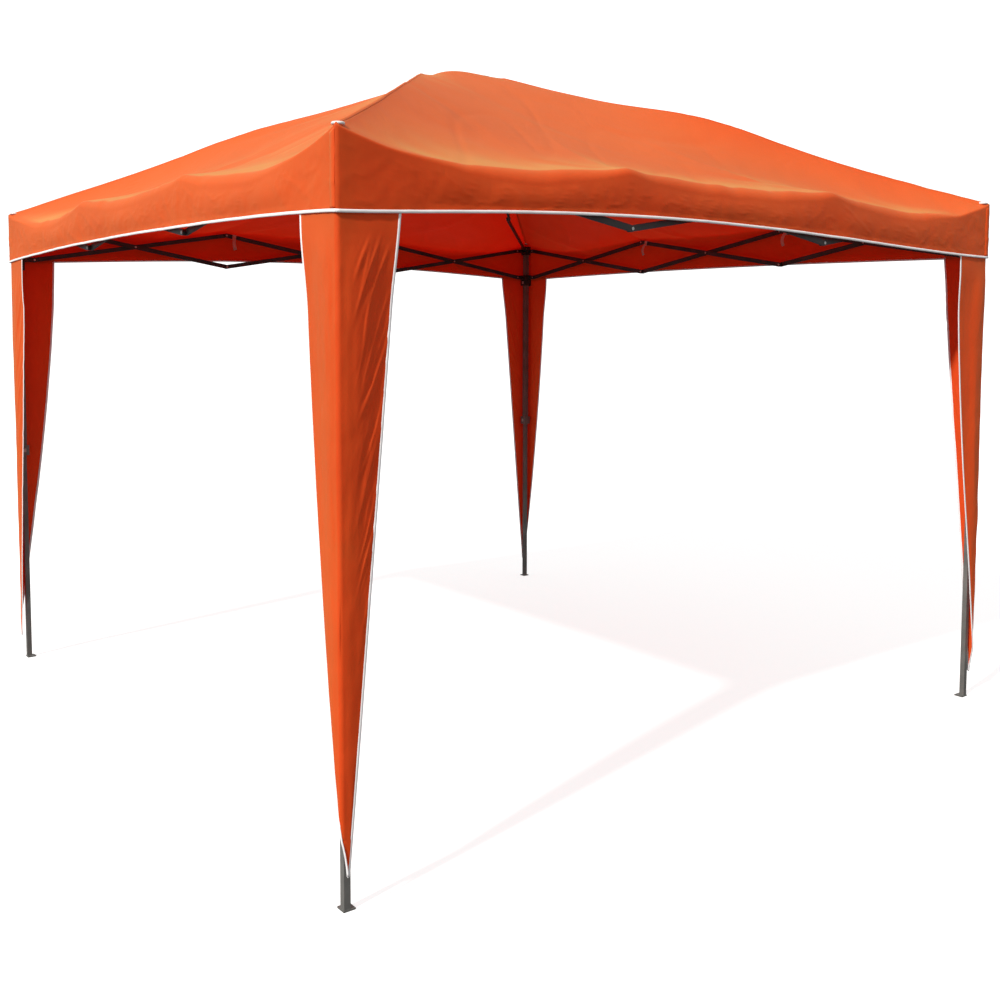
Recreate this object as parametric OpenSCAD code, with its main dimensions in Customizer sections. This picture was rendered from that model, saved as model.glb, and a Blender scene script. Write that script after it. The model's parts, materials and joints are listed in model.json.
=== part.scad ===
// Pop-up canopy: four telescoping legs, a folding scissor truss on every side,
// four hinged rafters up to a central hub, a cloth roof with a valance and four leg drapes.
// Millimetres, +Z up, origin on the ground at the centre of the footprint.

/* [Footprint and heights] */
// Leg spacing, axis to axis, when open
leg_spacing = 2940; // [2700:10:3100]
// Height of the truss's top pivots above the ground
truss_top_z = 1987; // [1950:1:2020]
// Height of the open truss, top pivots to low pivots
truss_drop = 157; // [130:1:180]
// Rise from the corner rafter pivots to the hub pivots
roof_rise = 545; // [500:1:600]
// Level distance from a corner rafter pivot to the rafter's knee, when open
knee_reach = 800; // [700:10:850]

/* [Bars] */
// Height of a truss bar's or rafter's tube
bar_h = 20; // [18:1:22]
// Thickness of a bar's tube
bar_t = 9; // [8:0.5:10]
// Wall of a bar's tube
bar_wall = 1.2; // [1:0.1:1.5]
// Gap between the faces of two crossing bars
bar_gap = 1.5; // [1:0.1:2]
// Radius of a rivet's shank
rivet_r = 3; // [2.5:0.1:3.5]

/* [Legs] */
// Side of the upper leg's square tube
upper_side = 25; // [25:0.5:28]
// Side of the lower leg's square tube
lower_side = 20; // [18:0.5:21]
// Wall of both leg tubes
leg_wall = 1.2; // [1:0.1:1.3]
// Height of the upper leg's lower end
upper_bottom_z = 940; // [900:5:1000]
// Length of lower leg held inside the upper leg when extended
lower_overlap = 190; // [150:5:190]
// Side of the square foot plate
foot_side = 36; // [34:1:50]
// Thickness of the foot plate
foot_t = 5; // [3:0.5:6]
// Radius of the stake hole in the foot plate
stake_r = 3.5; // [3:0.5:4]

/* [Corner pieces] */
// Distance from a leg's axis to the truss pivots on its bracket and slider
truss_pivot = 70; // [65:1:75]
// Distance from a leg's axis to its rafter pivot, along the diagonal
rafter_pivot = 42; // [40:1:45]
// Side of the corner bracket's block
bracket_side = 40; // [36:1:44]
// Side of the slider's block
slider_side = 44; // [40:1:46]
// Height of the slider's block
slider_h = 62; // [55:1:70]
// Thickness of the pivot ears
ear_t = 5; // [4:0.5:6]

/* [Cloth] */
// Outer width of the roof cloth
roof_width = 3000; // [2960:10:3100]
// Height of the roof cloth's corners
eave_z = 2032; // [2025:1:2060]
// Height of the roof cloth's flat top
peak_z = 2589; // [2580:1:2640]
// Side of the roof cloth's flat top
peak_side = 200; // [180:5:240]
// Depth of the valance at the corners
valance_h = 214; // [180:1:240]
// Rise of the valance's lower edge at mid-side
valance_arch = 48; // [20:1:60]
// Thickness of the cloth
cloth_t = 1; // [1:0.1:1.5]
// Width of a drape's wing at its top
drape_w = 185; // [150:5:210]
// Height of a drape's tip above the ground
drape_tip_z = 120; // [100:5:200]

/* [Hidden] */
$fn = 48;

CORNERS = ["front_left", "front_right", "back_right", "back_left"];
SIDES = ["front", "right", "back", "left"];

frame_grey = [0.27, 0.27, 0.27];
leg_grey = [0.42, 0.42, 0.4];
plastic_black = [0.08, 0.08, 0.08];
button_grey = [0.55, 0.55, 0.53];
cloth_orange = [0.88, 0.4, 0.17];

// Truss of three equal cells between two legs
cells = 3;
half = leg_spacing / 2;
cell_w = (leg_spacing - 2 * truss_pivot) / cells;
truss_low_z = truss_top_z - truss_drop;
bar_angle = atan2(truss_drop, cell_w);
bar_length = norm([cell_w, truss_drop]);

// Rafters close exactly at every fold angle with these lengths and angles
hub_pivot = sqrt(2) * truss_pivot - rafter_pivot;
rafter_low_z = truss_top_z + 13;
hub_z = rafter_low_z + roof_rise;
rafter_span = sqrt(2) * cells * cell_w / 2;
truss_share = sqrt(2) * cells * truss_drop / 2;
outer_drop = (roof_rise - truss_share) / 2;
inner_drop = (roof_rise + truss_share) / 2;
inner_reach = rafter_span - knee_reach;
outer_angle = atan2(outer_drop, knee_reach);
inner_angle = atan2(inner_drop, inner_reach);
outer_length = norm([knee_reach, outer_drop]);
inner_length = norm([inner_reach, inner_drop]);

// Riveted pivots
hole_r = rivet_r + 0.06;
rivet_head_r = 5;
rivet_head_t = 2;
rivet_slack = 0.1;

// Corner pieces
bracket_base_z = truss_top_z - 22;
bracket_top_z = truss_top_z + 29;
socket_slack = 0.1;
slider_slack = 0.6;
slider_base_z = truss_low_z - slider_h + 14;

// Buttons: each stands proud of its window and travels inward
button_w = 12;
button_h = 16;
button_t = 5;
button_proud = 3;
window_slack = 0.3;
window_depth = 4.8;

// Collar at the upper leg's lower end
collar_side = 40;
collar_h = 45;

// Hub
hub_body_r = 38;
hub_body_h = 34;
hub_cap_r = 95;
hub_cap_t = 6;
hub_cap_z = hub_z + 29;

// Cloth
eave_half = roof_width / 2;
peak_half = peak_side / 2;
valance_bottom_z = eave_z - valance_h;
arch_r = (pow(eave_half, 2) + pow(valance_arch, 2)) / (2 * valance_arch);
arch_fn = 1440;
drape_offset = 26;
drape_top_z = valance_bottom_z + 17;
drape_tip_w = 12;

// Places its children in the frame of corner k: origin on the leg's axis, +X and +Y inward
module at_corner(k)
    rotate([0, 0, 90 * k]) translate([-half, -half, 0]) children();

// Places its children in the frame of rafter k: origin at the centre, +X out to corner k
module at_rafter(k)
    rotate([0, 0, 90 * k + 225]) children();

// A hollow bar along +X with round ends, its faces at y = 0 and y = bar_t, drilled at its pivots
module bar(length, pivots) {
    cavity_h = bar_h - 2 * bar_wall;
    difference() {
        rotate([90, 0, 0]) mirror([0, 0, 1]) linear_extrude(bar_t) {
            translate([0, -bar_h / 2]) square([length, bar_h]);
            circle(r = bar_h / 2);
            translate([length, 0]) circle(r = bar_h / 2);
        }
        translate([0, bar_wall, -cavity_h / 2])
            cube([length, bar_t - 2 * bar_wall, cavity_h]);
        for (x = pivots)
            translate([x, -1, 0]) rotate([-90, 0, 0]) cylinder(r = hole_r, h = bar_t + 2);
    }
}

// A rivet along +Y whose heads sit just outside the faces at y0 and y1
module rivet(y0, y1) {
    translate([0, y0 - rivet_slack - rivet_head_t, 0]) rotate([-90, 0, 0]) {
        cylinder(r = rivet_head_r, h = rivet_head_t);
        cylinder(r = rivet_r, h = y1 - y0 + 2 * rivet_slack + 2 * rivet_head_t);
        translate([0, 0, y1 - y0 + 2 * rivet_slack + rivet_head_t])
            cylinder(r = rivet_head_r, h = rivet_head_t);
    }
}

// Rivet of a pivot between two crossing bars
module crossing_rivet() rivet(-bar_gap / 2 - bar_t, bar_gap / 2 + bar_t);

// Rivet of a pivot between a bar and an ear; a rising bar lies inside the ear
module ear_rivet(rising) {
    if (rising) rivet(-ear_t, bar_gap / 2 + bar_t);
    else rivet(-bar_gap / 2 - bar_t, ear_t);
}

// A flat pivot ear along +X from x = from to the pivot, its faces at y = y0 and y0 + ear_t
module ear(from, pivot, y0) {
    translate([0, y0, 0]) difference() {
        rotate([90, 0, 0]) mirror([0, 0, 1]) linear_extrude(ear_t) {
            translate([from, -bar_h / 2]) square([pivot - from, bar_h]);
            translate([pivot, 0]) circle(r = bar_h / 2);
        }
        translate([pivot, -1, 0]) rotate([-90, 0, 0]) cylinder(r = hole_r, h = ear_t + 2);
    }
}

// One bar of side k: falling bars lie in the outer plane, rising bars in the inner plane
module truss_bar(k, cell, rising) {
    start_z = rising ? truss_low_z : truss_top_z;
    color(frame_grey) at_corner(k)
        translate([truss_pivot + cell * cell_w, 0, start_z])
        rotate([0, rising ? -bar_angle : bar_angle, 0]) {
            translate([0, rising ? bar_gap / 2 : -bar_gap / 2 - bar_t, 0])
                bar(bar_length, [0, bar_length / 2, bar_length]);
            if (cell == 0) ear_rivet(rising);
            if (cell > 0 && rising) crossing_rivet();
            if (rising ? cell == cells - 1 : cell < cells - 1)
                translate([bar_length / 2, 0, 0]) crossing_rivet();
            if (cell == cells - 1) translate([bar_length, 0, 0]) ear_rivet(rising);
            if (cell < cells - 1 && rising) translate([bar_length, 0, 0]) crossing_rivet();
        }
}

// The rafter's inner bar, from the hub out and down to the knee
module inner_rafter(k)
    color(frame_grey) at_rafter(k) translate([hub_pivot, 0, hub_z])
    rotate([0, inner_angle, 0]) {
        translate([0, -bar_gap / 2 - bar_t, 0]) bar(inner_length, [0, inner_length]);
        ear_rivet(false);
        translate([inner_length, 0, 0]) crossing_rivet();
    }

// The rafter's outer bar, from the knee out and down to the corner bracket
module outer_rafter(k)
    color(frame_grey) at_rafter(k)
    translate([hub_pivot + inner_reach, 0, hub_z - inner_drop])
    rotate([0, outer_angle, 0]) {
        translate([0, bar_gap / 2, 0]) bar(outer_length, [0, outer_length]);
        translate([outer_length, 0, 0]) ear_rivet(true);
    }

// Moulded bracket: a cap over the upper leg's end with two truss ears and one rafter ear
module bracket(k)
    color(plastic_black) at_corner(k) difference() {
        union() {
            translate([-bracket_side / 2, -bracket_side / 2, bracket_base_z])
                cube([bracket_side, bracket_side, bracket_top_z - bracket_base_z]);
            translate([0, 0, truss_top_z]) {
                ear(0, truss_pivot, 0);
                mirror([1, -1, 0]) ear(0, truss_pivot, -ear_t);
            }
            translate([0, 0, rafter_low_z]) rotate([0, 0, 45]) ear(0, rafter_pivot, 0);
        }
        tube_hole(bracket_base_z - 1, upper_top_z() + socket_slack, upper_side + 2 * socket_slack);
    }

// Height of the upper leg's top end, inside the bracket
function upper_top_z() = bracket_top_z - 8;

// A square prism on the leg's axis
module tube_hole(z0, z1, side)
    translate([-side / 2, -side / 2, z0]) cube([side, side, z1 - z0]);

// A button's window in the +X face of a square block
module button_window(face_x, z)
    translate([face_x - window_depth, -button_w / 2 - window_slack, z - button_h / 2 - window_slack])
    cube([window_depth + 1, button_w + 2 * window_slack, button_h + 2 * window_slack]);

// A button proud of the +X face of a square block, with a ribbed thumb pad
module button(face_x, z)
    translate([face_x - button_t + button_proud, 0, z]) {
        translate([0, -button_w / 2, -button_h / 2]) cube([button_t, button_w, button_h]);
        for (rib = [-1, 0, 1])
            translate([button_t - 0.5, -button_w / 2 + 1, rib * 4 - 0.6])
                cube([1, button_w - 2, 1.2]);
    }

// Upper leg: a square steel tube with a moulded collar at its lower end
module upper_leg(k)
    color(leg_grey) at_corner(k) difference() {
        union() {
            tube_hole(upper_bottom_z, upper_top_z(), upper_side);
            tube_hole(upper_bottom_z, upper_bottom_z + collar_h, collar_side);
        }
        tube_hole(upper_bottom_z - 1, upper_top_z() + 1, upper_side - 2 * leg_wall);
        button_window(collar_side / 2, upper_bottom_z + collar_h / 2);
    }

// Push button in the upper leg's collar, which frees the lower leg
module height_button(k)
    color(button_grey) at_corner(k) button(collar_side / 2, upper_bottom_z + collar_h / 2);

// Lower leg: a smaller square tube welded to a foot plate that runs inward, with a stake hole
module lower_leg(k) {
    plate_edge = lower_side / 2 + 2;
    stake_at = foot_side - plate_edge - 2 * stake_r;
    color(leg_grey) at_corner(k) {
        difference() {
            tube_hole(foot_t, upper_bottom_z + lower_overlap, lower_side);
            tube_hole(foot_t + 1, upper_bottom_z + lower_overlap + 1, lower_side - 2 * leg_wall);
        }
        difference() {
            translate([-plate_edge, -plate_edge, 0]) cube([foot_side, foot_side, foot_t]);
            translate([stake_at, stake_at, -1]) cylinder(r = stake_r, h = foot_t + 2);
        }
    }
}

// Slider: a moulded block that runs on the upper leg and carries the truss's low pivots
module slider(k)
    color(plastic_black) at_corner(k) difference() {
        union() {
            tube_hole(slider_base_z, slider_base_z + slider_h, slider_side);
            translate([0, 0, truss_low_z]) {
                ear(0, truss_pivot, -ear_t);
                mirror([1, -1, 0]) ear(0, truss_pivot, 0);
            }
        }
        tube_hole(slider_base_z - 1, slider_base_z + slider_h + 1, upper_side + 2 * slider_slack);
        button_window(slider_side / 2, slider_base_z + 18);
    }

// Push button in the slider, which frees it from the bracket end of the leg
module slider_button(k)
    color(button_grey) at_corner(k) button(slider_side / 2, slider_base_z + 18);

// Central hub: a round body with four rafter ears and a wide cap that lifts the cloth
module hub()
    color(plastic_black) {
        translate([0, 0, hub_z - hub_body_h / 2]) cylinder(r = hub_body_r, h = hub_body_h);
        translate([0, 0, hub_z]) cylinder(r = hub_body_r / 2, h = hub_cap_z - hub_z + 1);
        translate([0, 0, hub_cap_z]) cylinder(r = hub_cap_r, h = hub_cap_t);
        for (k = [0 : 3])
            at_rafter(k) translate([0, 0, hub_z]) ear(hub_body_r / 2, hub_pivot, 0);
    }

// A square pyramid's frustum on the roof's slopes
module roof_solid(base_half, base_z, top_half, top_z)
    hull() {
        translate([-base_half, -base_half, base_z]) cube([2 * base_half, 2 * base_half, 0.01]);
        translate([-top_half, -top_half, top_z - 0.01]) cube([2 * top_half, 2 * top_half, 0.01]);
    }

// One panel of the valance, in the plane of one side, with an arched lower edge
module valance_panel()
    translate([0, -eave_half, 0]) rotate([90, 0, 0]) mirror([0, 0, 1]) linear_extrude(cloth_t)
    difference() {
        translate([-eave_half, valance_bottom_z]) square([roof_width, valance_h]);
        translate([0, valance_bottom_z + valance_arch - arch_r]) circle(r = arch_r, $fn = arch_fn);
    }

// Roof cloth: four slopes up to a flat top, and a valance panel on each side
module canopy()
    color(cloth_orange) {
        difference() {
            roof_solid(eave_half, eave_z - cloth_t, peak_half, peak_z);
            roof_solid(eave_half - 2 * cloth_t, eave_z - 2 * cloth_t, peak_half, peak_z - cloth_t);
        }
        for (k = [0 : 3]) rotate([0, 0, 90 * k]) valance_panel();
    }

// One wing of a drape: a tall taper in the plane just outside the leg
module drape_wing()
    translate([-drape_offset, -drape_offset, 0]) rotate([90, 0, 0]) linear_extrude(cloth_t)
    polygon([
        [-cloth_t, drape_tip_z], [drape_tip_w, drape_tip_z],
        [drape_w, drape_top_z], [-cloth_t, drape_top_z]
    ]);

// Four leg drapes, each a pair of tapering wings folded round the outside of its leg
module leg_drapes()
    color(cloth_orange) for (k = [0 : 3]) at_corner(k) {
        drape_wing();
        mirror([1, -1, 0]) drape_wing();
    }

hub();
canopy();
leg_drapes();
for (k = [0 : 3]) {
    inner_rafter(k);
    outer_rafter(k);
    bracket(k);
    upper_leg(k);
    lower_leg(k);
    slider(k);
    slider_button(k);
    height_button(k);
    for (cell = [0 : cells - 1]) {
        truss_bar(k, cell, false);
        truss_bar(k, cell, true);
    }
}
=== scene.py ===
"""Looks of a pop-up canopy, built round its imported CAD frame.

Metres, +Z up, the camera at the front left corner.
"""
import json
import math

import bmesh
import bpy
from mathutils import Matrix, Vector, noise

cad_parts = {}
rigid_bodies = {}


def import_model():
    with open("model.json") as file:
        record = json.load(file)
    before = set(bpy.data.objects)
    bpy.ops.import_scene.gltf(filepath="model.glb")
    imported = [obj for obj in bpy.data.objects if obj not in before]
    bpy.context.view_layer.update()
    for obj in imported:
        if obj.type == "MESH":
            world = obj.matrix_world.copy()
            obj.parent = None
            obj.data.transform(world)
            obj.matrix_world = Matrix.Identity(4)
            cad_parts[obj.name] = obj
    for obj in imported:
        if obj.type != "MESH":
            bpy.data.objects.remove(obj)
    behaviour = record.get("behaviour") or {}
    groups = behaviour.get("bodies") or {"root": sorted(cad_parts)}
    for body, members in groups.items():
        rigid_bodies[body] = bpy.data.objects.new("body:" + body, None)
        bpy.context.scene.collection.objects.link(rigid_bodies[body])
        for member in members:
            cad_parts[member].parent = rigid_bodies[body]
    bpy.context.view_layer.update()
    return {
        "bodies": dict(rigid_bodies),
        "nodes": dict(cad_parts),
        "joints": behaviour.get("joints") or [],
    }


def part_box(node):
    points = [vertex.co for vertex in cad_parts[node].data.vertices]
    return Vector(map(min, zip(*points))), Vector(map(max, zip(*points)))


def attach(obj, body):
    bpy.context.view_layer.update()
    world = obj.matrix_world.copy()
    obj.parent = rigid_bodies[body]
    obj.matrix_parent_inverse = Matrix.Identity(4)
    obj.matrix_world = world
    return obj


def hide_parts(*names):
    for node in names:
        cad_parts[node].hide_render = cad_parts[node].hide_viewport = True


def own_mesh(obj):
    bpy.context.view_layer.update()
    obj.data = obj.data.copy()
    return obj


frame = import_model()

CORNERS = ("front_left", "front_right", "back_right", "back_left")
SIDES = ("front", "right", "back", "left")

# ---------------------------------------------------------------- sizes, from the frame
roof_low, roof_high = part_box("canopy")
HALF = roof_high.x
LEG_HALF = -sum(corner.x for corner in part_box("front_left_upper_leg")) / 2
VALANCE_Z = roof_low.z
VALANCE_DEPTH = 0.214
EAVE_Z = VALANCE_Z + VALANCE_DEPTH
# The cloth's peak stays a little under the CAD's
PEAK_Z = roof_high.z - 0.003
# Half width of the roof's flat top
CAP_HALF = 0.1
# Where the flat top's corners lie, off a centred square
CAP_SHIFT = (Vector((-0.187, 0.03)), Vector((0, 0)), Vector((0, 0.01)), Vector((-0.04, 0.03)))
joint_at = {j["name"]: Vector(j["pos_m"]) for j in frame["joints"] if "pos_m" in j}

# ---------------------------------------------------------------- how the cloth hangs
# Hips are listed in the order of CORNERS, and sides in the order of SIDES.
# Sag of the roof's edge at the truss's tops, and what the end and middle bays add between them
SUPPORT_SAG = 0.029
END_BAY_SAG = 0.054
MID_BAY_SAG = 0.014
# Sag of a slope between its hips
PANEL_SAG = 0.075
# Slack that lies flat just inside the roof's edge, between the supports
POOL_SAG = 0.019
# The arch of the valance's lower edge on each side: height, narrowness and skew
VALANCE_ARCH = ((0.049, 1.8, 0.8), (0.016, 1.0, 1), (0.05, 1.3, 1), (0.03, 0.8, 1))
# How far the hips bulge above a straight line: height, and the bulge's place and spread along the slope
HIP_BULGE = (-0.006, 0.052, 0.03, 0.028)
HIP_BULGE_AT = 0.39
HIP_BULGE_SPREAD = 0.21
# How far the hips are full over their whole length
HIP_FULLNESS = (0.022, 0, 0, 0)
# How far the hips dip between the flat top and their bulge
HIP_DIP = (0.0, 0.02, 0.02, 0.012)
# How far the flat top falls to its corners and to the middle of its sides
CAP_DROP = (0.055, 0.006, 0.008, 0.01)
CAP_SIDE_DROP = (0.002, 0.002, 0.003, 0.03)
# Radius of the soft turn from roof to valance, at the corners and elsewhere
TURN_TIGHT = 0.004
TURN_SOFT = 0.042
# Share of a side's length, from its ends, where the valance lies flat over a drape
FLAT_END = 0.05

CLOTH_T = 0.0012
SEAM_T = 0.0006
# Half width of a hip seam and of its raised middle, and how far these stand off the roof
HIP_SEAM_HALF = 0.007
HIP_SEAM_RAISED = 0.005
HIP_SEAM_LIFT = 0.0004
HIP_SEAM_EDGE_LIFT = 0.0001
# Width of a corner seam's folded strip, and how far it stands off the valance
CORNER_SEAM_W = 0.026
CORNER_SEAM_LIFT = 0.002
# The white tape's width and thickness, and how far the valance's stands off the cloth
TAPE_W = 0.009
VALANCE_TAPE_T = 0.004
VALANCE_TAPE_LIFT = 0.0006
DRAPE_TAPE_T = 0.0036

# Mesh density: columns are for one side of the roof
ROOF_COLUMNS = 240
ROOF_ROWS = 70
TURN_ROWS = 8
CAP_ROWS = 4
VALANCE_ROWS = 30

# A drape's top, tucked behind the valance, and its tip
DRAPE_TOP_Z = VALANCE_Z + 0.03
DRAPE_TIP_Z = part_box("leg_drapes")[0].z - 0.015
DRAPE_TOP_W = 0.187
DRAPE_TIP_W = 0.019
# From the leg's axis to a drape's outer face, just inside the valance
DRAPE_OUT = HALF - LEG_HALF - 0.0035
DRAPE_FOLD_R = 0.011
# Share of a drape's height that lies flat behind the valance
DRAPE_TUCKED = 0.034
# How steeply the wings swing in behind the leg's outer face, and from what distance to the fold
WING_SWING = 0.085
WING_SWING_FROM = 0.055
# Share of a drape's height at which its shorter wing has run out, and how that wing tapers
SHORT_WING = 0.945
SHORT_WING_TAPER = 1.45
# Share of the long wing's width that is cut off beside the fold at the tip
TIP_CUT = 0.85
# Mesh density of a drape: columns round its corner, rows down its height
DRAPE_COLUMNS = 100
DRAPE_ROWS = 240

# The white rings at the roof's corners: radii of the ring and its tube, and where they sit
RING_MAJOR = 0.0135
RING_MINOR = 0.0042
RING_INSET = 0.02
RING_LIFT = 0.003
# The tie straps: distance to their truss joint, and the wrap's half height and depth round a bar
TIE_DROP = 0.04
TIE_HALF_H = 0.0125
TIE_DEPTH = 0.0125
# The strap's thickness and width in the wrap and in its hanging tail, and the tail's length
WRAP_T, WRAP_W = 0.0012, 0.02
TAIL_T, TAIL_W = 0.0016, 0.018
TAIL_LENGTH = 0.06

# Half width of the legs' square when the frame is fully folded, and how the cloth then pleats
FOLDED_HALF = 0.303
LEG_TRAVEL = LEG_HALF - FOLDED_HALF
PLEATS = 6
PLEAT_SHARE = 0.07


def smooth(t):
    """A step from 0 to 1 with level ends."""
    t = min(1.0, max(0.0, t))
    return t * t * (3 - 2 * t)


def ripple(x, y, z, scale, seed=0.0):
    """Smooth noise between about -1 and 1 at a place in metres, scale features a metre."""
    return noise.noise(Vector((x * scale + seed, y * scale - seed, z * scale + 2 * seed)))


def crease(x, y, z, scale, seed=0.0):
    """Narrow creases between 0 and 1, where the smooth noise passes through 0."""
    return smooth(1 - 7 * abs(ripple(x, y, z, scale, seed)))


def turn(k, x, y, z=0.0):
    """A point given for the front side, turned to side k."""
    cosine, sine = ((1, 0), (0, 1), (-1, 0), (0, -1))[k % 4]
    return Vector((cosine * x - sine * y, sine * x + cosine * y, z))


def edge_sag(along):
    """How far the roof's edge hangs below its corners, at a share of a side's length."""
    near = min(along, 1 - along) * 3
    if near < 1:
        return SUPPORT_SAG * near + END_BAY_SAG * math.sin(math.pi * near ** 0.75)
    return SUPPORT_SAG + MID_BAY_SAG * math.sin(math.pi * (near - 1))


def roof_wrinkle(point, share, along):
    """Small upright waves: pulls that run out from the corners and truss tops, and soft dents."""
    corner_gap = min(along, 1 - along)
    pull = math.exp(-corner_gap / 0.06) * share ** 4
    rays = 0.004 * pull * math.sin(46 * corner_gap + 3 * ripple(point.x, point.y, 0, 1.5))
    support_gap = abs(corner_gap - 1 / 3)
    rays += 0.0035 * math.exp(-support_gap / 0.05) * share ** 6 * math.cos(90 * support_gap)
    dents = 0.0045 * ripple(point.x, point.y, 0, 2.3, 4.1)
    dents += 0.0026 * ripple(point.x, point.y, 0, 6.5, 9.7)
    creases = 0.004 * crease(point.x + 0.4 * point.y, point.y, 0, 1.7, 2.2)
    creases += 0.0022 * crease(point.x - 0.7 * point.y, 0.4 * point.y, 0, 4.3, 8.8)
    on_support = math.exp(-(support_gap / 0.04) ** 2) * smooth((share - 0.88) / 0.08)
    return rays + (dents - creases) * smooth(share * 4) * (1 - on_support)


def roof_painted_highlight(reach, lap):
    """A painted highlight band, as a share: how far the roof's colour turns pale inside its edge, where the
    cloth lies loose and flat, for a low look.
    """
    along = lap - int(lap)
    share = reach / HALF
    near_edge = smooth((share - 0.72) / 0.24) * (1 - smooth((share - 0.972) / 0.02))
    patchy = 0.85 + 0.3 * ripple(6 * along, 0, reach, 1.0, 2.9)
    return near_edge * min(1.0, 0.25 + edge_sag(along) / 0.07) * patchy


def turn_radius(along):
    """Radius of the turn from roof to valance: tight at the corners, soft where the cloth sags."""
    corner_gap = min(along, 1 - along)
    support_gap = abs(corner_gap - 1 / 3)
    soft = smooth((corner_gap - 0.05) / 0.17) * (1 - 0.5 * math.exp(-(support_gap / 0.05) ** 2))
    return TURN_TIGHT + (TURN_SOFT - TURN_TIGHT) * soft


def turn_drop(reach, along):
    """How far the rounded turn brings the roof down, near its edge."""
    radius = turn_radius(along)
    into = max(0.0, reach - (HALF - radius)) / radius
    return radius * (1 - math.sqrt(max(0.0, 1 - into ** 2)))


def by_hip(values, k, along):
    """A value given for the four hips, at a share of side k's length."""
    return values[k] * (1 - along) + values[(k + 1) % 4] * along


def roof_point(reach, lap):
    """A point of the roof at a reach from the centre; lap runs 0 to 4 round the four sides."""
    k, along = int(lap) % 4, lap - int(lap)
    share = max(0.0, (reach - CAP_HALF) / (HALF - CAP_HALF))
    across = 2 * along - 1
    point = turn(k, reach * across, -reach)
    z = PEAK_Z - (PEAK_Z - EAVE_Z) * share
    bulge = math.exp(-((share - HIP_BULGE_AT) / HIP_BULGE_SPREAD) ** 2) * smooth(share * 6)
    z += by_hip(HIP_BULGE, k, along) * bulge * across ** 2
    z += by_hip(HIP_FULLNESS, k, along) * math.sin(math.pi * share) * across ** 2
    droop = CAP_SIDE_DROP[k] * (1 - across ** 2) + by_hip(CAP_DROP, k, along) * across ** 2
    z -= droop * min(1.0, reach / CAP_HALF) ** 2 * (1 - share) ** 8
    z -= by_hip(HIP_DIP, k, along) * across ** 2 * math.sin(math.pi * min(1.0, share / 0.5)) ** 2
    z -= PANEL_SAG * (1 - across ** 2) * math.sin(math.pi * share ** 1.5)
    z -= edge_sag(along) * share ** 3
    z -= POOL_SAG * edge_sag(along) / (SUPPORT_SAG / 2 + END_BAY_SAG) * math.sin(math.pi * share ** 4)
    z -= turn_drop(reach, along)
    z += roof_wrinkle(point, share, along) * (1 - abs(across) ** 12 * 0.6)
    shift = by_hip(CAP_SHIFT, k, along) * (1 - share) ** 2 * smooth(reach / CAP_HALF)
    return Vector((point.x + shift.x, point.y + shift.y, z))


def valance_bottom(k, along):
    """Height of the valance's lower edge at a share of side k's length."""
    height, narrowness, skew = VALANCE_ARCH[k]
    return VALANCE_Z + height * max(0.0, 1 - (2 * along ** skew - 1) ** 2) ** narrowness


def valance_point(drop, lap):
    """A point of the valance; drop runs from 0 at the roof's edge to 1 at the lower edge."""
    k, along = int(lap) % 4, lap - int(lap)
    edge = roof_point(HALF, lap)
    bottom = valance_bottom(k, along)
    z = edge.z + (bottom - edge.z) * drop
    free = smooth((min(along, 1 - along) - FLAT_END) / 0.05)
    folds = 0.006 * ripple(along * 9, k * 3.7, 0, 1.0, 1.3)
    folds += 0.003 * ripple(along * 26, k * 2.1, z * 3, 1.0, 5.3)
    out = free * (folds * smooth(drop * 1.6) + 0.004 * math.sin(math.pi * min(1, drop * 1.2)))
    puckers = 0.0009 * ripple(along * 60, k, z * 18, 1.0, 7.7)
    puckers += 0.0011 * crease(along * 22 + z * 9, k * 1.9, z * 4, 1.0, 2.6)
    puckers += 0.0012 * crease(along * 64 - z * 14, k * 2.7, z * 15, 1.0, 4.4)
    out += puckers * smooth(drop * 4)
    side = turn(k, 0, -1)
    return Vector((edge.x, edge.y, z)) + side * out


def lap_of(column, columns):
    """The lap value of a column, with the corners at whole numbers."""
    return 4 * (column % columns) / columns


# ---------------------------------------------------------------- mesh helpers
def mesh_object(name, points, faces):
    mesh = bpy.data.meshes.new(name)
    mesh.from_pydata([tuple(p) for p in points], [], faces)
    mesh.validate()
    mesh.update()
    obj = bpy.data.objects.new(name, mesh)
    bpy.context.scene.collection.objects.link(obj)
    for polygon in mesh.polygons:
        polygon.use_smooth = True
    return obj


def grid_faces(rows, columns, closed):
    """Quads between rows of equally many points; closed joins each row's end to its start."""
    faces = []
    for r in range(rows - 1):
        for c in range(columns if closed else columns - 1):
            d = (c + 1) % columns
            faces.append((r * columns + c, r * columns + d, (r + 1) * columns + d, (r + 1) * columns + c))
    return faces


def sweep(name, path, outward, width, thickness, closed, segments=10):
    """A flattened round binding along a path: its thickness lies along outward, its width across that."""
    points, count = [], len(path)
    for i, centre in enumerate(path):
        ahead = path[(i + 1) % count] if closed else path[min(i + 1, count - 1)]
        behind = path[i - 1] if closed else path[max(i - 1, 0)]
        along = (ahead - behind).normalized()
        out = (outward[i] - along * outward[i].dot(along)).normalized()
        up = along.cross(out)
        for s in range(segments):
            angle = 2 * math.pi * s / segments
            points.append(centre + up * (width / 2 * math.cos(angle))
                          + out * (thickness / 2 * math.sin(angle)))
    faces = grid_faces(count, segments, True)
    if closed:
        last = (count - 1) * segments
        faces += [(last + s, last + (s + 1) % segments, (s + 1) % segments, s) for s in range(segments)]
    else:
        faces.append(tuple(reversed(range(segments))))
        faces.append(tuple((count - 1) * segments + s for s in range(segments)))
    obj = mesh_object(name, points, faces)
    face_outward(obj)
    return obj


def face_outward(obj):
    """Makes a closed mesh's faces point outward."""
    work = bmesh.new()
    work.from_mesh(obj.data)
    bmesh.ops.recalc_face_normals(work, faces=work.faces)
    work.to_mesh(obj.data)
    work.free()


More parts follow.
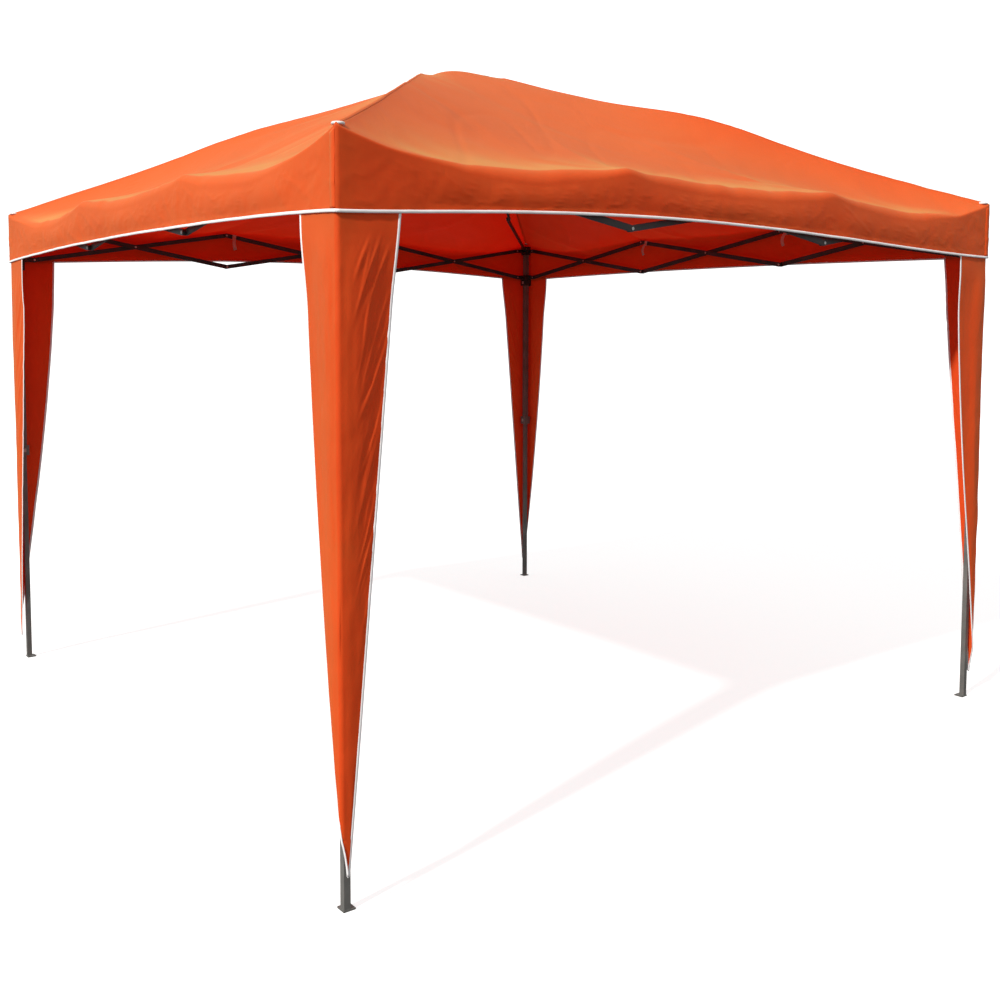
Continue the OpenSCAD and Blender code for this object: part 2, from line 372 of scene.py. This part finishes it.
def thicken(obj, thickness, offset):
    """Gives a sheet a real thickness."""
    solid = obj.modifiers.new("thickness", "SOLIDIFY")
    solid.thickness = thickness
    solid.offset = offset
    solid.use_even_offset = False


def pleat(x, y):
    """How far a place of the roof lags behind the folding legs, as a share: cloth pleats outward."""
    reach = max(abs(x), abs(y))
    offset = (x if abs(y) >= abs(x) else y) / reach
    gap = (1 - abs(offset)) / 2
    wave = 0.5 - 0.5 * math.cos(math.pi * PLEATS * (offset + 1))
    return PLEAT_SHARE * wave * smooth(gap / 0.1)


def gather_with_legs(obj):
    """Ties cloth to all four legs: each point moves with them by its share, and gathers as they fold."""
    groups = [obj.vertex_groups.new(name=f"pull_{corner}") for corner in CORNERS]
    # Which way each corner lies from the centre, in x and y
    signs = ((-1, -1), (1, -1), (1, 1), (-1, 1))
    held = CAP_HALF * 1.25
    folded_edge = HALF - LEG_TRAVEL
    for vertex in obj.data.vertices:
        x, y = vertex.co.x, vertex.co.y
        reach = max(abs(x), abs(y), 1e-6)
        target = held + (reach - held) * (folded_edge - held) / (HALF - held)
        share = max(0.0, (1 - target / reach) * HALF / LEG_TRAVEL) if reach > held else 0.0
        pull_x, pull_y = x * share / HALF, y * share / HALF
        follow = 1 - pleat(x, y) * smooth(share * 1.5) if share else 1
        for group, (sx, sy) in zip(groups, signs):
            weight = (1 + sx * pull_x) * (1 + sy * pull_y) / 4 * follow
            group.add([vertex.index], max(0.0, min(1.0, weight)), "REPLACE")
    for corner, group in zip(CORNERS, groups):
        hook = obj.modifiers.new(group.name, "HOOK")
        hook.object = frame["bodies"][f"{corner}_leg"]
        hook.vertex_group = group.name
        hook.falloff_type = "NONE"


# ---------------------------------------------------------------- materials
def new_material(name):
    material = bpy.data.materials.new(name)
    material.use_nodes = True
    nodes, links = material.node_tree.nodes, material.node_tree.links
    nodes.clear()
    output = nodes.new("ShaderNodeOutputMaterial")
    shader = nodes.new("ShaderNodeBsdfPrincipled")
    links.new(shader.outputs[0], output.inputs[0])
    return material, nodes, links, shader, output


def noise_node(nodes, links, scale, detail, stretch=(1, 1, 1), distortion=0.0):
    place = nodes.new("ShaderNodeTexCoord")
    mapping = nodes.new("ShaderNodeMapping")
    mapping.inputs["Scale"].default_value = stretch
    links.new(place.outputs["Object"], mapping.inputs[0])
    texture = nodes.new("ShaderNodeTexNoise")
    texture.inputs["Scale"].default_value = scale
    texture.inputs["Detail"].default_value = detail
    texture.inputs["Distortion"].default_value = distortion
    links.new(mapping.outputs[0], texture.inputs["Vector"])
    return texture


def ramp_node(nodes, links, source, stops):
    ramp = nodes.new("ShaderNodeValToRGB")
    ramp.color_ramp.elements[0].position, ramp.color_ramp.elements[0].color = stops[0]
    ramp.color_ramp.elements[1].position, ramp.color_ramp.elements[1].color = stops[-1]
    for position, color in stops[1:-1]:
        ramp.color_ramp.elements.new(position).color = color
    links.new(source, ramp.inputs[0])
    return ramp


def bump_node(nodes, links, height, strength, distance, below=None):
    bump = nodes.new("ShaderNodeBump")
    bump.inputs["Strength"].default_value = strength
    bump.inputs["Distance"].default_value = distance
    links.new(height, bump.inputs["Height"])
    if below is not None:
        links.new(below.outputs[0], bump.inputs["Normal"])
    return bump


def weave_height(nodes, links, pitch):
    """Threads crossing along the three axes, as a height."""
    place = nodes.new("ShaderNodeTexCoord")
    total = None
    for direction in ("X", "Y", "Z"):
        wave = nodes.new("ShaderNodeTexWave")
        wave.bands_direction = direction
        wave.inputs["Scale"].default_value = 0.314 / pitch
        wave.inputs["Distortion"].default_value = 0.3
        links.new(place.outputs["Object"], wave.inputs["Vector"])
        if total is None:
            total = wave.outputs["Fac"]
            continue
        add = nodes.new("ShaderNodeMath")
        add.operation = "ADD"
        links.new(total, add.inputs[0])
        links.new(wave.outputs["Fac"], add.inputs[1])
        total = add.outputs[0]
    return total


def cloth_material(name, deep, base, pale, painted_sheen_color, glow, see_through):
    """Coated polyester: woven, slightly creased, letting some light through.

    A painted sheen turns its colour towards a pale one at a low, glancing look, and a painted highlight adds
    more of it where the mesh's painted-highlight attribute is high.
    """
    material, nodes, links, shader, output = new_material(name)
    tint = noise_node(nodes, links, 1.6, 5, distortion=0.4)
    ramp = ramp_node(nodes, links, tint.outputs["Fac"], [(0.3, deep), (0.52, base), (0.75, pale)])
    # Painted sheen: at a glancing look the base colour is mixed towards a pale colour, which stands in for
    # reflected sky light.
    look = nodes.new("ShaderNodeLayerWeight")
    look.inputs["Blend"].default_value = 0.5
    painted_sheen_stops = ((0.2, 0), (0.5, 0.14), (0.7, 0.26), (0.88, 0.36), (0.96, 0.65), (1, 0.9))
    stops = [(facing, (share, share, share, 1)) for facing, share in painted_sheen_stops]
    sheen = ramp_node(nodes, links, look.outputs["Facing"], stops)
    # Painted highlight: a mesh attribute marks a pale band inside the roof's edge, shown only at a low look.
    painted_highlight = nodes.new("ShaderNodeAttribute")
    painted_highlight.attribute_name = "painted_highlight"
    low_look = nodes.new("ShaderNodeMapRange")
    low_look.inputs["From Min"].default_value = 0.74
    low_look.inputs["From Max"].default_value = 0.9
    low_look.inputs["To Max"].default_value = 0.75
    links.new(look.outputs["Facing"], low_look.inputs["Value"])
    painted_light_share = nodes.new("ShaderNodeMath")
    painted_light_share.operation = "MULTIPLY_ADD"
    painted_light_share.use_clamp = True
    links.new(painted_highlight.outputs["Fac"], painted_light_share.inputs[0])
    links.new(low_look.outputs[0], painted_light_share.inputs[1])
    links.new(sheen.outputs[0], painted_light_share.inputs[2])
    blend = nodes.new("ShaderNodeMix")
    blend.data_type = "RGBA"
    blend.inputs["B"].default_value = painted_sheen_color
    links.new(painted_light_share.outputs[0], blend.inputs["Factor"])
    links.new(ramp.outputs[0], blend.inputs["A"])
    links.new(blend.outputs["Result"], shader.inputs["Base Color"])
    shader.inputs["Roughness"].default_value = 0.5
    shader.inputs["Specular IOR Level"].default_value = 0.14
    shader.inputs["Sheen Weight"].default_value = 0.05
    shader.inputs["Sheen Roughness"].default_value = 0.4
    shader.inputs["Sheen Tint"].default_value = (1.0, 0.75, 0.5, 1)
    creases = noise_node(nodes, links, 5.5, 7, (1, 1, 0.6), 1.4)
    folds = bump_node(nodes, links, creases.outputs["Fac"], 0.3, 0.012)
    lines = noise_node(nodes, links, 7, 5, (1, 1, 1.5), 0.7)
    lines.noise_type = "RIDGED_MULTIFRACTAL"
    folds = bump_node(nodes, links, lines.outputs["Fac"], 0.16, 0.006, folds)
    puckers = noise_node(nodes, links, 38, 4, (1, 1, 1), 0.8)
    fine = bump_node(nodes, links, puckers.outputs["Fac"], 0.18, 0.002, folds)
    weave = bump_node(nodes, links, weave_height(nodes, links, 0.0016), 0.12, 0.0003, fine)
    links.new(weave.outputs[0], shader.inputs["Normal"])
    lit = nodes.new("ShaderNodeBsdfTranslucent")
    lit.inputs["Color"].default_value = glow
    links.new(weave.outputs[0], lit.inputs["Normal"])
    mix = nodes.new("ShaderNodeMixShader")
    mix.inputs[0].default_value = see_through
    links.new(shader.outputs[0], mix.inputs[1])
    links.new(lit.outputs[0], mix.inputs[2])
    links.new(mix.outputs[0], output.inputs[0])
    return material


def plain_material(name, dark, light, metallic, roughness, grain_scale, grain):
    """A solid finish with a fine grain, a mottled tone and a varying gloss."""
    material, nodes, links, shader, _ = new_material(name)
    mottle = noise_node(nodes, links, 14, 6)
    tone = ramp_node(nodes, links, mottle.outputs["Fac"], [(0.35, dark), (0.7, light)])
    links.new(tone.outputs[0], shader.inputs["Base Color"])
    shader.inputs["Metallic"].default_value = metallic
    gloss = nodes.new("ShaderNodeMapRange")
    gloss.inputs["To Min"].default_value = roughness - 0.08
    gloss.inputs["To Max"].default_value = roughness + 0.1
    links.new(mottle.outputs["Fac"], gloss.inputs["Value"])
    links.new(gloss.outputs[0], shader.inputs["Roughness"])
    texture = noise_node(nodes, links, grain_scale, 3)
    bump = bump_node(nodes, links, texture.outputs["Fac"], grain, 0.0004)
    links.new(bump.outputs[0], shader.inputs["Normal"])
    return material


# The cloth's fourth colour is the pale colour of its painted sheen.
ORANGE = cloth_material(
    "cloth_orange", (0.83, 0.108, 0.02, 1), (0.89, 0.127, 0.023, 1), (0.93, 0.147, 0.028, 1),
    (0.88, 0.46, 0.13, 1), (1.0, 0.012, 0.006, 1), 0.44)
WHITE_TAPE = plain_material(
    "binding_white", (0.86, 0.84, 0.86, 1), (0.95, 0.94, 0.95, 1), 0.0, 0.6, 900, 0.4)
# Painted shade: the truss bars get a far darker colour than the legs' same grey powder coat, standing in for
# the roof's shadow they hang in.
FRAME_STEEL_PAINTED_SHADE = plain_material(
    "frame_steel", (0.035, 0.034, 0.035, 1), (0.06, 0.058, 0.058, 1), 0.35, 0.42, 700, 0.3)
LEG_STEEL = plain_material(
    "leg_steel", (0.14, 0.138, 0.13, 1), (0.19, 0.187, 0.178, 1), 0.15, 0.42, 700, 0.3)
ZINC = plain_material(
    "rivet_zinc", (0.42, 0.42, 0.41, 1), (0.58, 0.58, 0.56, 1), 0.9, 0.34, 500, 0.2)
MOULDING = plain_material(
    "moulding_black", (0.016, 0.016, 0.017, 1), (0.03, 0.03, 0.031, 1), 0.0, 0.5, 1200, 0.5)
BUTTON = plain_material(
    "button_grey", (0.36, 0.36, 0.35, 1), (0.46, 0.46, 0.44, 1), 0.0, 0.38, 900, 0.2)
WHITE_CAP = plain_material(
    "cap_white", (0.75, 0.74, 0.72, 1), (0.86, 0.85, 0.84, 1), 0.0, 0.35, 900, 0.15)
STRAP = plain_material(
    "strap_pink", (0.66, 0.36, 0.31, 1), (0.78, 0.48, 0.42, 1), 0.0, 0.7, 600, 0.5)


def paint(obj, material):
    obj.data.materials.clear()
    obj.data.materials.append(material)


# ---------------------------------------------------------------- cloth pieces
def hang_on_frame(piece):
    """Cloth of the roof: it rides the hub and gathers with the legs."""
    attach(piece, "hub")
    gather_with_legs(piece)


def build_roof():
    """One continuous sheet: the flat top, four slopes and the valance."""
    columns = 4 * ROOF_COLUMNS
    reaches = [CAP_HALF * (i + 1) / CAP_ROWS for i in range(CAP_ROWS)]
    flat = HALF - TURN_SOFT
    reaches += [CAP_HALF + (flat - CAP_HALF) * (i + 1) / ROOF_ROWS for i in range(ROOF_ROWS)]
    reaches += [flat + TURN_SOFT * math.sin(math.pi / 2 * (i + 1) / TURN_ROWS) for i in range(TURN_ROWS)]
    points = [roof_point(reach, lap_of(c, columns)) for reach in reaches for c in range(columns)]
    points += [valance_point((i + 1) / VALANCE_ROWS, lap_of(c, columns))
               for i in range(VALANCE_ROWS) for c in range(columns)]
    rows = len(reaches) + VALANCE_ROWS
    faces = grid_faces(rows, columns, True)
    points.append(Vector((0, 0, PEAK_Z)))
    centre = len(points) - 1
    faces += [(centre, (c + 1) % columns, c) for c in range(columns)]
    roof = mesh_object("roof_cloth", points, faces)
    # Painted highlight band, stored on the roof's points for the cloth's colour.
    painted_highlight = roof.data.attributes.new("painted_highlight", "FLOAT", "POINT")
    for i, reach in enumerate(reaches):
        for c in range(columns):
            painted_highlight.data[i * columns + c].value = roof_painted_highlight(reach, lap_of(c, columns))
    face_outward(roof)
    if roof.data.polygons[-1].normal.z < 0:
        roof.data.flip_normals()
    paint(roof, ORANGE)
    thicken(roof, CLOTH_T, -1)
    hang_on_frame(roof)
    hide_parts("canopy")


def build_valance_binding():
    """White tape round the valance's lower edge."""
    count = 4 * ROOF_COLUMNS
    path, outward = [], []
    for i in range(count):
        lap = lap_of(i, count)
        k, along = int(lap), lap - int(lap)
        side = turn(k, 0, -1)
        path.append(valance_point(1, lap) + side * VALANCE_TAPE_LIFT)
        past_corner = smooth(min(along, 1 - along) / 0.004)
        other = turn(k + (1 if along > 0.5 else -1), 0, -1)
        outward.append(side * (1 + past_corner) + other * (1 - past_corner))
    tape = sweep("valance_binding", path, outward, TAPE_W, VALANCE_TAPE_T, True)
    paint(tape, WHITE_TAPE)
    hang_on_frame(tape)


def build_hip_seams():
    """Felled seams up the four hips, a little proud of the roof."""
    steps = 90
    for k, corner in enumerate(CORNERS):
        points = []
        for i in range(steps + 1):
            reach = CAP_HALF + (HALF - TURN_TIGHT - CAP_HALF) * i / steps
            for offset in (-HIP_SEAM_HALF, -HIP_SEAM_RAISED, 0, HIP_SEAM_RAISED, HIP_SEAM_HALF):
                lap = (k + offset / (2 * reach)) % 4
                lift = HIP_SEAM_EDGE_LIFT if abs(offset) == HIP_SEAM_HALF else HIP_SEAM_LIFT
                points.append(roof_point(reach, lap) + Vector((0, 0, lift)))
        seam = mesh_object(f"hip_seam_{corner}", points, grid_faces(steps + 1, 5, False))
        paint(seam, ORANGE)
        thicken(seam, SEAM_T, 0)
        hang_on_frame(seam)


def build_corner_seams():
    """The valance's upright seams: a folded strip beside each corner, facing the same way round."""
    steps = 40
    for k, corner in enumerate(CORNERS):
        out = turn(k - 1, 0, -1)
        points = []
        for i in range(steps + 1):
            drop = 0.03 + 0.94 * i / steps
            edge = CORNER_SEAM_W + 0.002 * ripple(drop * 9, k * 2.3, 0, 1.0, 3.1)
            profile = ((0.0015, 0.0002), (0.003, 0.0016), (edge / 2, CORNER_SEAM_LIFT),
                       (edge - 0.0015, 0.0018), (edge, 0))
            for back, lift in profile:
                lap = (k - back / (2 * HALF)) % 4
                points.append(valance_point(drop, lap) + out * lift)
        seam = mesh_object(f"corner_seam_{corner}", points, grid_faces(steps + 1, 5, False))
        paint(seam, ORANGE)
        thicken(seam, SEAM_T, 0)
        hang_on_frame(seam)


def wing_crumple(k, away, z, down, long_wing):
    """How far a drape's wing stands out: soft upright folds, and on the long wing slanting crinkles."""
    out = 0.003 * math.sin(away * 34 + 2.4 * ripple(away * 3, z * 1.1, k * 5, 1.0, 3.3))
    out *= smooth(away / 0.04)
    out += 0.002 * ripple(away * 9, z * 3.2, k * 3.1, 1.0, 6.1)
    out += 0.0012 * ripple(away * 40, z * 12, k, 1.0, 1.9)
    if not long_wing:
        return out + 0.0025 * crease(away * 6 + 0.3 * z, z * 1.2, k * 3.7, 1.0, 3.9) * smooth(down * 8)
    slant = away - 0.34 * z
    crinkled = smooth((away - 0.035) / 0.06) * smooth(down * 12) * smooth(2.4 - 3 * down)
    out += 0.005 * crinkled * (0.5 + 0.5 * ripple(slant * 17, z * 1.3, k * 2.3, 1.0, 4.8))
    out += 0.0035 * crinkled * crease(slant * 19, z * 1.7, k * 4.1, 1.0, 7.3)
    out += 0.002 * crinkled * crease(slant * 36, z * 3.1, k * 1.3, 1.0, 5.9)
    out += 0.0008 * crinkled * crease(slant * 52, z * 6.3, k * 2.9, 1.0, 1.2)
    return out


def drape_span(across, down):
    """Distance from the leg's corner for a drape's point, and whether it lies on the long wing."""
    long_w = DRAPE_TOP_W + (DRAPE_TIP_W - DRAPE_TOP_W) * down
    if down > SHORT_WING:
        inner = TIP_CUT * long_w * (down - SHORT_WING) / (1 - SHORT_WING)
        return inner + (long_w - inner) * (across + 1) / 2, True
    if across > 0:
        return across * long_w, True
    return -across * DRAPE_TOP_W * (1 - (down / SHORT_WING) ** SHORT_WING_TAPER), False


def drape_point(k, across, down):
    """A point of the drape of corner k; across runs -1 to 1 round the corner, down from 0 to 1."""
    z = DRAPE_TOP_Z + (DRAPE_TIP_Z - DRAPE_TOP_Z) * down
    away, long_wing = drape_span(across, down)
    free = smooth((down - DRAPE_TUCKED) / 0.06) * (1 - 0.75 * smooth((abs(across) - 0.8) / 0.2))
    centre = DRAPE_FOLD_R - DRAPE_OUT - free * max(-0.002, wing_crumple(k, away, z, down, long_wing))
    angle = math.pi / 4 - min(away / DRAPE_FOLD_R, math.pi / 4)
    run = centre - DRAPE_FOLD_R * math.sin(angle) + max(0.0, away - DRAPE_FOLD_R * math.pi / 4)
    face = centre - DRAPE_FOLD_R * math.cos(angle)
    face += WING_SWING * max(0.0, away - WING_SWING_FROM) * smooth((down - DRAPE_TUCKED) * 8)
    x, y = (run, face) if long_wing else (face, run)
    return turn(k, x - LEG_HALF, y - LEG_HALF, z)


def build_drape(k):
    """A drape: two tapering wings folded round the outside of a leg, with white binding on their edges."""
    corner = CORNERS[k]
    half = DRAPE_COLUMNS // 2
    columns = 2 * half + 1
    spread = [(c - half) / half for c in range(columns)]
    points = [drape_point(k, a, r / DRAPE_ROWS) for r in range(DRAPE_ROWS + 1) for a in spread]
    drape = mesh_object(f"leg_drape_{corner}", points, grid_faces(DRAPE_ROWS + 1, columns, False))
    thicken(drape, CLOTH_T, 0)
    apply_modifiers(drape)
    paint(drape, ORANGE)
    edge = [drape_point(k, -1, r / DRAPE_ROWS) for r in range(3, DRAPE_ROWS + 1)]
    out = [turn(k, -1, 0)] * len(edge)
    hem = [drape_point(k, -1 + 2 * i / 6, 1) for i in range(1, 6)]
    edge += hem
    out += [turn(k, -1, -1).normalized()] * len(hem)
    rising = [drape_point(k, 1, r / DRAPE_ROWS) for r in range(DRAPE_ROWS, 2, -1)]
    edge += rising
    out += [turn(k, 0, -1)] * len(rising)
    tape = sweep(f"drape_binding_{corner}", edge, out, TAPE_W, DRAPE_TAPE_T, False, 8)
    paint(tape, WHITE_TAPE)
    for piece in (drape, tape):
        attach(piece, f"{corner}_leg")
        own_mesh(piece)
    return drape


def apply_modifiers(obj):
    """Bakes a piece's modifiers into its mesh."""
    graph = bpy.context.evaluated_depsgraph_get()
    mesh = bpy.data.meshes.new_from_object(obj.evaluated_get(graph))
    obj.modifiers.clear()
    obj.data = mesh


def build_corner_ring(k):
    """The white ring that seats the roof's corner on the leg's top."""
    corner = CORNERS[k]
    at = turn(k, -HALF + RING_INSET, -HALF + RING_INSET, EAVE_Z + RING_LIFT)
    around, tube = 32, 12
    points = []
    for i in range(around):
        angle = 2 * math.pi * i / around
        for j in range(tube):
            small = 2 * math.pi * j / tube
            radius = RING_MAJOR + RING_MINOR * math.cos(small)
            points.append(at + Vector((radius * math.cos(angle), radius * math.sin(angle),
                                       RING_MINOR * math.sin(small))))
    faces = grid_faces(around, tube, True)
    last = (around - 1) * tube
    faces += [(last + j, last + (j + 1) % tube, (j + 1) % tube, j) for j in range(tube)]
    ring = mesh_object(f"corner_ring_{corner}", points, faces)
    face_outward(ring)
    paint(ring, WHITE_CAP)
    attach(ring, f"{corner}_leg")


def build_tie(k, name, at, along, body):
    """A short strap wrapped round a truss bar near its upper joint, with a hanging tail.

    Both sweeps take the bar's direction as outward, so their width is the strap's thickness.
    """
    inward = turn(k, 0, 1)
    up = inward.cross(along)
    if up.z < 0:
        up = -up
    loop = []
    for i in range(40):
        angle = 2 * math.pi * i / 40
        cosine, sine = math.cos(angle), math.sin(angle)
        squarish = max(abs(cosine), abs(sine)) ** 0.6
        loop.append(at + inward * (TIE_DEPTH / 2 + TIE_DEPTH / 2 * cosine / squarish)
                    + up * (TIE_HALF_H * sine / squarish))
    wrap = sweep(name, loop, [along] * len(loop), WRAP_T, WRAP_W, True, 8)
    tail = []
    for i in range(14):
        t = i / 13
        tail.append(at + inward * (TIE_DEPTH + 0.004 + 0.012 * math.sin(2.2 * t))
                    + Vector((0, 0, -TIE_HALF_H * 0.4 - TAIL_LENGTH * t)) + along * (0.008 * math.sin(3 * t)))
    flap = sweep(f"{name}_tail", tail, [along] * len(tail), TAIL_T, TAIL_W, False, 8)
    for piece in (wrap, flap):
        paint(piece, STRAP)
        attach(piece, body)


def build_ties():
    for k, side in enumerate(SIDES):
        first_middle = joint_at[f"{side}_scissor_1"]
        first_top = joint_at[f"{side}_upper_link"]
        rising = first_top - first_middle
        second_top = joint_at[f"{side}_scissor_2"] + rising
        along = rising.normalized()
        build_tie(k, f"tie_{side}_1", first_top - along * TIE_DROP, along, f"{side}_bar_1_up")
        build_tie(k, f"tie_{side}_2", second_top - along * TIE_DROP, along, f"{side}_bar_2_up")


# ---------------------------------------------------------------- CAD nodes
# A loose part of a bar's node that is shorter than this, corner to corner of its box, is a rivet
RIVET_LARGEST = 0.06


def islands(mesh):
    """Which loose part each polygon belongs to."""
    parent = list(range(len(mesh.vertices)))

    def find(v):
        while parent[v] != v:
            parent[v] = parent[parent[v]]
            v = parent[v]
        return v

    places = {}
    for v in mesh.vertices:
        key = tuple(round(c, 5) for c in v.co)
        first = places.setdefault(key, v.index)
        parent[find(v.index)] = find(first)
    for polygon in mesh.polygons:
        for v in polygon.vertices[1:]:
            parent[find(v)] = find(polygon.vertices[0])
    return [find(p.vertices[0]) for p in mesh.polygons]


def paint_bar(obj):
    """Powder coat on the bar's tube, in a dark colour that is painted shade, and zinc on its rivets."""
    mesh = obj.data
    paint(obj, FRAME_STEEL_PAINTED_SHADE)
    mesh.materials.append(ZINC)
    labels = islands(mesh)
    reach = {}
    for label, polygon in zip(labels, mesh.polygons):
        for v in polygon.vertices:
            co = mesh.vertices[v].co
            low, high = reach.get(label, (co, co))
            reach[label] = (Vector(map(min, low, co)), Vector(map(max, high, co)))
    for label, polygon in zip(labels, mesh.polygons):
        low, high = reach[label]
        polygon.material_index = 1 if (high - low).length < RIVET_LARGEST else 0


def paint_frame():
    for name, obj in frame["nodes"].items():
        if "_bar_" in name or name.endswith("rafter"):
            paint_bar(obj)
        elif name.endswith("button"):
            paint(obj, BUTTON)
        elif name.endswith("leg"):
            paint(obj, LEG_STEEL)
        else:
            paint(obj, MOULDING)


# ---------------------------------------------------------------- stage, light and camera
FLOOR_HALF = 60
# The floor and the sky are brighter for the camera than for the object, which gives a white ground
FLOOR_TONE = 0.09
FLOOR_TONE_SEEN = 0.5
FLOOR_GLOW_SEEN = 0.72
SKY_STRENGTH = 0.56
SKY_STRENGTH_SEEN = 1.3
SUN_ENERGY = 3.8
SUN_DIRECTION = Vector((1.12, 0.27, -0.9))
CAMERA_AT = (-2.924, -4.044, 1.531)
# Degrees: the camera's heading from +X towards +Y, its look up, and its lean to the side
CAMERA_YAW, CAMERA_PITCH, CAMERA_ROLL = 52.48, -4.26, 0.16
SENSOR_WIDTH = 36
# Focal length as a share of the sensor's width, and the frame's shift in the same terms
CAMERA_FOCAL = 1.1529
CAMERA_SHIFT = (-0.0046, -0.0871)


def build_stage():
    corners = [(x * FLOOR_HALF, y * FLOOR_HALF, 0) for x, y in ((-1, -1), (1, -1), (1, 1), (-1, 1))]
    floor = mesh_object("floor", corners, [(0, 1, 2, 3)])
    material, nodes, links, shader, _ = new_material("floor_pale")
    shader.inputs["Roughness"].default_value = 0.9
    seen = nodes.new("ShaderNodeLightPath")
    tone = nodes.new("ShaderNodeMix")
    tone.data_type = "RGBA"
    tone.inputs["A"].default_value = (FLOOR_TONE, FLOOR_TONE, FLOOR_TONE, 1)
    tone.inputs["B"].default_value = (FLOOR_TONE_SEEN, FLOOR_TONE_SEEN, FLOOR_TONE_SEEN, 1)
    links.new(seen.outputs["Is Camera Ray"], tone.inputs["Factor"])
    links.new(tone.outputs["Result"], shader.inputs["Base Color"])
    glow = nodes.new("ShaderNodeMath")
    glow.operation = "MULTIPLY"
    glow.inputs[1].default_value = FLOOR_GLOW_SEEN
    links.new(seen.outputs["Is Camera Ray"], glow.inputs[0])
    shader.inputs["Emission Color"].default_value = (1, 1, 1, 1)
    links.new(glow.outputs[0], shader.inputs["Emission Strength"])
    paint(floor, material)
    world = bpy.data.worlds.new("studio")
    bpy.context.scene.world = world
    world.use_nodes = True
    nodes, links = world.node_tree.nodes, world.node_tree.links
    background = nodes["Background"]
    background.inputs["Color"].default_value = (1.0, 1.0, 1.0, 1)
    seen = nodes.new("ShaderNodeLightPath")
    strength = nodes.new("ShaderNodeMapRange")
    strength.inputs["To Min"].default_value = SKY_STRENGTH
    strength.inputs["To Max"].default_value = SKY_STRENGTH_SEEN
    links.new(seen.outputs["Is Camera Ray"], strength.inputs["Value"])
    links.new(strength.outputs[0], background.inputs["Strength"])
    sun = bpy.data.lights.new("sun", "SUN")
    sun.energy = SUN_ENERGY
    sun.angle = math.radians(3)
    sun.color = (1.0, 0.97, 0.92)
    lamp = bpy.data.objects.new("sun", sun)
    lamp.rotation_euler = SUN_DIRECTION.to_track_quat("-Z", "Y").to_euler()
    bpy.context.scene.collection.objects.link(lamp)


def build_camera():
    """A camera at the viewing corner, looking a little down, framed high."""
    yaw, pitch, roll = map(math.radians, (CAMERA_YAW, CAMERA_PITCH, CAMERA_ROLL))
    forward = Vector((math.cos(pitch) * math.cos(yaw), math.cos(pitch) * math.sin(yaw), math.sin(pitch)))
    right = Vector((math.sin(yaw), -math.cos(yaw), 0))
    up = right.cross(forward)
    rolled_right = right * math.cos(roll) + up * math.sin(roll)
    rolled_up = up * math.cos(roll) - right * math.sin(roll)
    data = bpy.data.cameras.new("camera")
    data.sensor_width = SENSOR_WIDTH
    data.lens = SENSOR_WIDTH * CAMERA_FOCAL
    data.shift_x, data.shift_y = CAMERA_SHIFT
    camera = bpy.data.objects.new("camera", data)
    turned = Matrix((rolled_right, rolled_up, -forward)).transposed().to_4x4()
    camera.matrix_world = Matrix.Translation(CAMERA_AT) @ turned
    bpy.context.scene.collection.objects.link(camera)
    bpy.context.scene.camera = camera
    bpy.context.scene.view_settings.view_transform = "Standard"


paint_frame()
build_roof()
build_valance_binding()
build_hip_seams()
build_corner_seams()
drapes = [build_drape(k) for k in range(4)]
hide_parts("leg_drapes")
for k in range(4):
    build_corner_ring(k)
build_ties()
build_stage()
build_camera()
